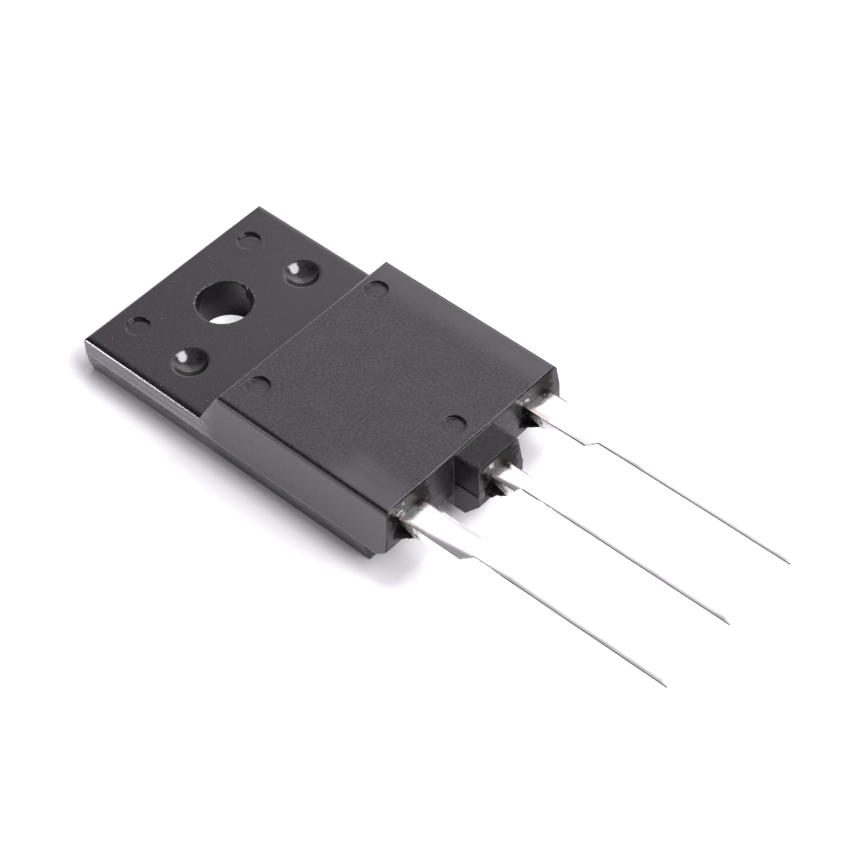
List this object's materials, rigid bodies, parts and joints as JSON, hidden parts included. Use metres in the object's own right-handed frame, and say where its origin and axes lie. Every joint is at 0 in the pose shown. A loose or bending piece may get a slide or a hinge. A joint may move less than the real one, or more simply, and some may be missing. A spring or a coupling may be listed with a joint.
{
  "type": "power transistor",
  "caption": "Fully moulded three-lead power transistor with a thin mounting tab, a screw hole, a stepped body and straight tinned leads.",
  "frame": {"origin": "on the axis of the mounting hole, at the flat back face of the moulded body", "axes": "+Z out of the top face with the mould marks, along the mounting hole, +Y towards the end of the mounting tab, leads pointing to -Y, +X across the width with the emitter lead on the +X side"},
  "size_m": [0.0154, 0.0436, 0.0055],
  "materials": {
    "moulding_compound": "satin black epoxy, finely grained on top, smoother on the drafted walls",
    "tinned_copper": "bright tin plating over copper, bare copper showing on cut edges",
    "silicon": "polished grey-blue silicon",
    "solder": "dull solder",
    "wire_aluminium": "drawn aluminium wire"
  },
  "bodies": {
    "root": {"moulded_body": "moulding_compound", "heat_spreader": "tinned_copper", "left_lead": "tinned_copper", "right_lead": "tinned_copper", "silicon_chip": "silicon", "chip_solder": "solder", "base_wire": "wire_aluminium", "inner_emitter_wire": "wire_aluminium", "outer_emitter_wire": "wire_aluminium"}
  },
  "joints": []
}
